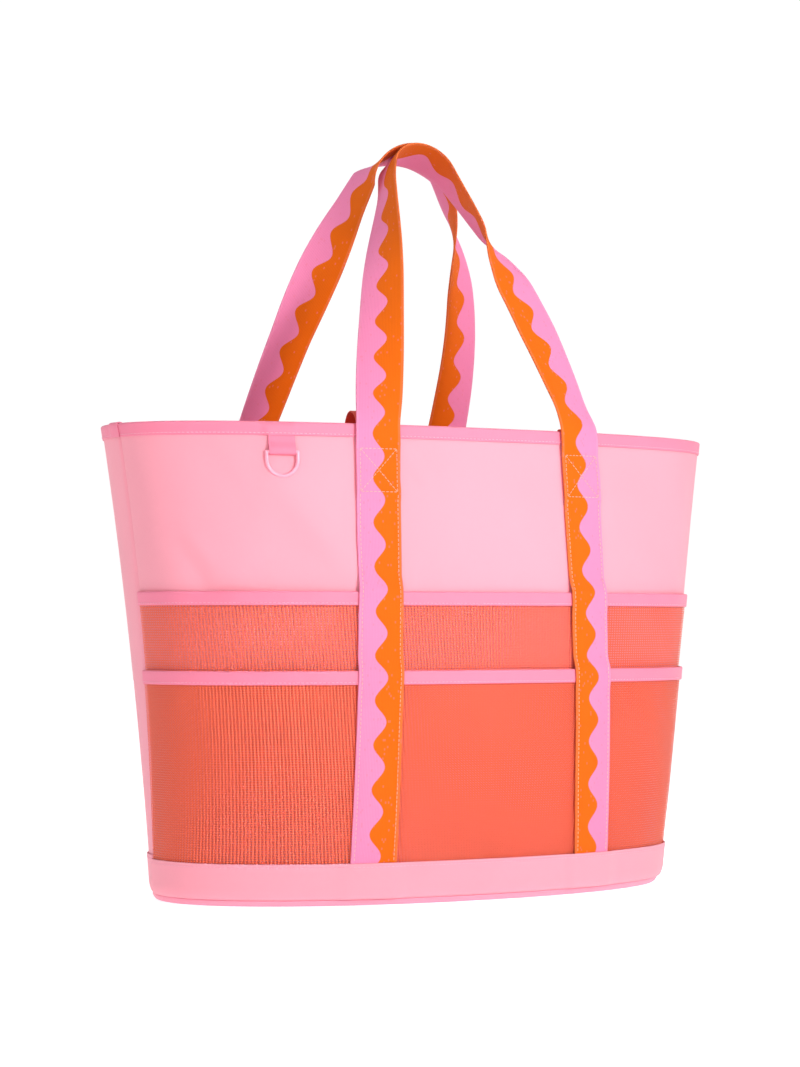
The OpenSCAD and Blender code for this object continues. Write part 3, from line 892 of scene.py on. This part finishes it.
# ---- webbing, handles and backing -------------------------------------------
def box_stitch(side, hand):
    """A square of stitches crossed by an X, which ties a strap to the canvas."""
    low, high = BOX_Z[0] + 2, BOX_Z[1] - 1.5
    wide = STRAP_W/2 - BOX_INSET
    corners = [(-wide, low), (wide, low), (wide, high), (-wide, high)]
    runs = []
    for a, b in ((0, 1), (1, 2), (2, 3), (3, 0), (0, 2), (1, 3)):
        w, z = np.linspace(corners[a], corners[b], 40).T
        psi = strap_psi(hand, w, z)
        face = wall(side, psi, z, strap_off(side, z) + STRAP_T)
        runs.append(stitch_run(face, wall_out(side, psi, z), BOX_PITCH))
    return runs


def edge_stitch(side, hand):
    """The two rows of stitches along a strap, from the base band up to the box stitch."""
    z = np.linspace((BAND_H if side == FRONT else BAND_H + BACK_BAND_RISE) + 2, BOX_Z[0], 220)
    runs = []
    for w in (-STRAP_W/2 + STRAP_INSET, STRAP_W/2 - STRAP_INSET):
        psi = strap_psi(hand, w, z)
        runs.append(stitch_run(wall(side, psi, z, strap_off(side, z) + STRAP_T), wall_out(side, psi, z)))
    return runs


# How far a handle has turned at each distance from its fold, on its left and right legs
TURNS = {
    FRONT: ([(0, 5), (20, 13), (50, 28), (100, 45), (150, 55), (180, 67), (220, 87), (245, 97), (298, 90)],
            [(0, 5), (20, 15), (50, 8), (100, 0), (150, 4), (180, 30), (200, 60), (220, 66), (245, 72),
             (298, 90)]),
    BACK: ([(0, -5), (50, 2), (100, 8), (150, 34), (180, 51), (220, 69), (245, 75), (293, 90)],
           [(0, -5), (50, 3), (100, 16), (150, 30), (180, 45), (220, 66), (245, 73), (293, 90)]),
}
ARCH_Y, ARCH_Z, ARCH_TILT = 6.5, 643, 21
ARCH_R = {FRONT: 28, BACK: 34}
NEST, SLIDE = 3.2, 6        # how far the back arch lies over the front one, and down its slope
BOW = {FRONT: (1, 14), BACK: (8, 24)}       # how far the left and the right leg bow outwards
TILT_RUN, FOLD_RUN = 200, 40


def arch_top(side):
    """The arch's highest point, as (y, z)."""
    if side == FRONT:
        return np.array([ARCH_Y, ARCH_Z])
    tilt = math.radians(ARCH_TILT)
    return np.array([ARCH_Y + NEST*math.sin(tilt) + SLIDE*math.cos(tilt),
                     ARCH_Z + NEST*math.cos(tilt) - SLIDE*math.sin(tilt)])


def handle_rows(side, outline):
    """A handle's free length: legs that lean over the mouth, bow a little and end in a round arch."""
    apex, r = arch_top(side), ARCH_R[side]
    x, y = wall_xy(FRONT, strap_psi(RIGHT, 0, BAG_H), BAG_H)
    ny = wall_nrm(FRONT, strap_psi(RIGHT, 0, BAG_H), BAG_H)[1]
    foot = np.array([-side*(y + (RIM_LAYER + STRAP_T/2)*ny), FOLD_Z])
    up = unit(apex - foot)
    strap = STRAP_X[1]
    middle = math.dist(apex, foot) - r
    leg_tilt = math.atan2(strap, middle) - math.asin(r/math.hypot(strap, middle))
    leg = math.sqrt(strap**2 + middle**2 - r*r)
    half = leg + r*(math.pi/2 - leg_tilt)

    def place(s):
        e = min(s, 2*half - s)
        a = leg_tilt + (e - leg)/r
        x, reach = ((-strap + e*math.sin(leg_tilt), e*math.cos(leg_tilt)) if e <= leg
                    else (-r*math.cos(a), middle + r*math.sin(a)))
        x -= BOW[side][0 if s <= half else 1]*math.sin(math.pi*e/half)
        return np.array([x if s <= half else -x, foot[0] + reach*up[0] + shift_y, foot[1] + reach*up[1]])

    def turn(s):
        table = TURNS[side][0 if s <= half else 1]
        e = min(s, 2*half - s)
        angle = sum(np.interp(e + d, *np.transpose(table)) for d in (-6, 0, 6))/3
        return math.radians(angle if s <= half else 180 - angle)

    rows = []
    for s in np.linspace(0, 2*half, 201):
        e = min(s, 2*half - s)
        t = unit(place(min(s + 0.5, 2*half)) - place(max(s - 0.5, 0)))
        tilt = math.radians(ARCH_TILT)*smooth(e/TILT_RUN)
        turned = turn(s)
        raw = np.array([math.cos(turned), -math.sin(turned)*math.cos(tilt), math.sin(turned)*math.sin(tilt)])
        w = unit(raw - t*np.dot(raw, t)*smooth(e/FOLD_RUN))
        n = unit(np.cross(t, w))
        rows.append(place(s) + outline[:, :1]*w + outline[:, 1:]*n)
    return np.array(rows)


def strap_rows(side, hand, outline):
    """A strap sewn to the bag, from its foot in the base band up to the fold."""
    z = np.linspace(MESH_FOOT, STRAP_TOP, 131)[:, None]
    off = strap_off(side, z) + STRAP_T/2 + side*outline[None, :, 1]
    return strap_pt(side, hand, -hand*outline[None, :, 0], z, off)


EASE_ROWS, EASE_ROUNDS = 6, 10      # rows eased on each side of a fold, and how many times


def tape(side, name, nodes, body):
    """One handle's webbing: up a strap, over the hand and down the other strap."""
    outline, place = ribbon(line((-STRAP_W/2, 0), (STRAP_W/2, 0), 12), STRAP_T)
    left, right = (strap_rows(side, hand, outline) for hand in (LEFT, RIGHT))
    free = handle_rows(side, outline)
    rows = np.concatenate([left, free, right[::-1]])
    folds_at = np.array([len(left), len(left) + len(free)])
    near = np.abs(np.arange(len(rows))[:, None] - folds_at[None, :]).min(1)
    ease = np.clip(1 - (near - 1)/EASE_ROWS, 0, 1)[1:-1, None, None]
    for _ in range(EASE_ROUNDS):
        even = (rows[:-2] + rows[2:])/2
        rows[1:-1] = mix(rows[1:-1], even, 0.5*ease)
    run = lengths(rows.mean(1))
    first, last = run[folds_at]
    along = run + WAVE_START[side] + WAVE_SLIP[side]*smooth((run - first)/(last - first))
    piece = sweep(name, rows, along, place - STRAP_W/2, WEBBING)
    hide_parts(*nodes)
    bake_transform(piece)


# Backing webbing seen from its edge, as (offset, height): lying close, and in a loose loop
SNUG_PATH = [(0.8, BOX_Z[0]), (0.8, 378), (2.1, 384), (2.1, 394.6), (1.2, 397.1), (-1, 397.4),
             (-3.2, 397.1), (-3.5, 394.6), (-3.5, 384), (-2.5, 378), (-2.5, 345)]
LOOSE_PATH = [(0.8, BOX_Z[0]), (0.8, 378), (2.1, 384), (2.1, 394), (0.4, 399), (-3.4, 403.6),
              (-8.5, 406.6), (-14, 406.8), (-19.4, 404), (-23.4, 398), (-24.4, 390), (-21, 376),
              (-13, 362), (-5, 351), (-2.6, 343)]


def backing(side, hand, path, name, node):
    """Plain webbing behind a strap: up the outside, over the rim and down the inside."""
    outline, place = ribbon(smoothed(path, 2), BACKING_T)
    w = np.linspace(-STRAP_W/2 + 0.5, STRAP_W/2 - 0.5, 13)
    rows = strap_pt(side, hand, w[:, None], outline[None, :, 1], outline[None, :, 0])
    piece = sweep(name, rows, w, place, CORAL)
    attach(piece, "bag")
    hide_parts(node)


LEAN_Z = 350                # the canvas leans at the ring as it does from here to the rim


def ring_frame():
    """The bar's middle, and the directions along it, out of the canvas and up it."""
    z = BAG_H - BIND_W - TAB_LEN
    psi = psi_x(-RING_X, z)
    nx, ny = wall_nrm(FRONT, psi, z)
    out = np.array([nx, ny, 0])
    joint = next(j for j in frame["joints"] if j["name"] == "dring_swing")
    bar = -np.array(joint["axis"])
    foot = np.array([*wall_xy(FRONT, psi_x(-RING_X, LEAN_Z), LEAN_Z), LEAN_Z])
    rim = np.array([*wall_xy(FRONT, psi_x(-RING_X, BAG_H), BAG_H), BAG_H])
    rise = rim - foot
    up = unit(np.array([0, 0, rise[2]]) + out*np.dot(rise, out))
    return np.array(joint["pos_m"])/MM, bar, np.cross(up, bar), up


def ring_tab():
    """Tape folded round the ring's bar, with both ends caught under the rim binding."""
    origin, bar, inward, up = ring_frame()
    r = WIRE_D/2 + 0.05 + TAPE_T/2
    back = BAR_OFF - GAP - TAPE_T/2
    top = TAB_LEN + BIND_W - 4
    path = smoothed([(back, top), (back, 8), (back - 0.1, 4), (r + 0.1, 1.6)], 2).tolist()
    path += arc((0, 0), r, 20, -180, 12)
    path += smoothed([(-r, 0.8), (-r + 0.5, 3.4), (back - TAPE_T - 0.7, 7.5), (back - TAPE_T - 0.05, 11),
                      (back - TAPE_T - 0.05, top)], 2).tolist()
    outline, place = ribbon(path, TAPE_T - 0.05)
    x = np.linspace(-(RING_IN - 0.8)/2, (RING_IN - 0.8)/2, 13)
    rows = (origin + x[:, None, None]*bar + outline[None, :, :1]*inward + outline[None, :, 1:]*up)
    piece = sweep("ring_tab", rows, x, place, BINDING)
    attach(piece, "bag")
    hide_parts("dring_tab")


# ---- making it all ----------------------------------------------------------
canvas_panel(FRONT, "front_canvas", "front_panel")
canvas_panel(BACK, "back_canvas", "back_panel")
bottom_cloth()
edge_tape()
pocket_mesh("tall_mesh", "tall_pocket_mesh", TALL_H, tall_off, tall_gape)
pocket_mesh("short_mesh", "short_pocket_mesh", SHORT_H, short_off, short_gape)
ring_tab()
tape(FRONT, "front_webbing", ("front_handle", "front_strap_left", "front_strap_right"),
     "front_handle_body")
tape(BACK, "back_webbing", ("back_handle", "back_strap_left", "back_strap_right"), "back_handle_body")
backing(FRONT, LEFT, LOOSE_PATH, "loose_backing", "backing_front_left")
backing(FRONT, RIGHT, SNUG_PATH, "front_right_backing", "backing_front_right")
backing(BACK, LEFT, SNUG_PATH, "back_left_backing", "backing_back_left")
backing(BACK, RIGHT, SNUG_PATH, "back_right_backing", "backing_back_right")

straps = [(side, hand) for side in (FRONT, BACK) for hand in (LEFT, RIGHT)]
SEWN = {
    "rim_stitches": (rim_tape(), THREAD),
    "pocket_stitches": ([pocket_tape("tall_tape", "tall_pocket_binding", TALL_H, tall_off, tall_gape),
                         pocket_tape("short_tape", "short_pocket_binding", SHORT_H, short_off,
                                     short_gape)], THREAD),
    "band_stitches": ([base_band(FRONT, "front_band", "base_band_front"),
                       base_band(BACK, "back_band", "base_band_back")], THREAD),
    "seam_stitches": (seam_tape(LEFT, "left_seam_tape", "side_seam_tape_left")
                      + seam_tape(RIGHT, "right_seam_tape", "side_seam_tape_right"), THREAD),
    "strap_stitches": (sum((edge_stitch(*s) for s in straps), []), BOX_THREAD),
    "box_stitches": (sum((box_stitch(*s) for s in straps), []), BOX_THREAD),
}
for name, (runs, thread) in SEWN.items():
    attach(stitches(name, runs, thread), "bag")

for name, material in (("dring", RING), ("base_board", BOARD)):
    for place in frame["nodes"][name].material_slots:
        place.material = material


# ---- studio -----------------------------------------------------------------
def backdrop():
    """A white surround that lights the bag more dimly than it looks."""
    world = bpy.data.worlds.new("studio")
    world.use_nodes = True
    tree = world.node_tree
    sky = tree.nodes["Background"]
    sky.inputs[0].default_value = (1, 1, 1, 1)
    seen = tree.nodes.new("ShaderNodeLightPath").outputs["Is Camera Ray"]
    level = tree.nodes.new("ShaderNodeMapRange")
    level.inputs["To Min"].default_value = SKY_LIGHT
    level.inputs["To Max"].default_value = SKY_WHITE
    tree.links.new(seen, level.inputs["Value"])
    tree.links.new(level.outputs[0], sky.inputs[1])
    bpy.context.scene.world = world


SKY_LIGHT, SKY_WHITE = 0.6, 1.02
# Each light's place and aim in metres, its size, the spread of its beam in degrees and its power
LIGHTS = {
    "key": ((0.5, -2.7, 1.2), (0.03, -0.12, 0.36), 0.6, 26, 1.55),
    "fill": ((-2.4, -1.8, 1.2), (0, 0, 0.3), 1.6, 180, 6.5),
    "top": ((0.4, 0.3, 2.6), (0, 0, 0.3), 1.8, 180, 6),
}


FLOOR_R = 9                 # metres


def studio():
    mesh = bpy.data.meshes.new("studio_floor")
    a = np.linspace(0, 2*math.pi, 64, endpoint=False)
    mesh.from_pydata([(FLOOR_R*math.cos(k), FLOOR_R*math.sin(k), 0) for k in a], [], [list(range(64))])
    mesh.materials.append(FLOOR)
    ground = bpy.data.objects.new("studio_floor", mesh)
    bpy.context.scene.collection.objects.link(ground)
    backdrop()
    bpy.context.scene.view_settings.view_transform = "Standard"
    for name, (place, aim, size, spread, power) in LIGHTS.items():
        data = bpy.data.lights.new(name, "AREA")
        data.shape, data.size, data.energy, data.spread = "SQUARE", size, power, math.radians(spread)
        light = bpy.data.objects.new(name, data)
        light.location = place
        light.rotation_euler = direction(place, aim)
        bpy.context.scene.collection.objects.link(light)


def direction(place, aim):
    """Rotation that points a light or camera from a place at an aim."""
    away = np.subtract(aim, place)
    lean = math.atan2(math.hypot(away[0], away[1]), -away[2])
    return (lean, 0, math.atan2(away[1], away[0]) - math.pi/2)


def photo_camera():
    data = bpy.data.cameras.new("camera")
    data.lens, data.sensor_width = 94.47, 36
    data.shift_y = 0.084
    camera = bpy.data.objects.new("camera", data)
    camera.location = (-1.235, -2.1135, 0.232)
    camera.rotation_euler = (math.pi/2, 0, math.radians(-30))
    bpy.context.scene.collection.objects.link(camera)
    bpy.context.scene.camera = camera


studio()
photo_camera()
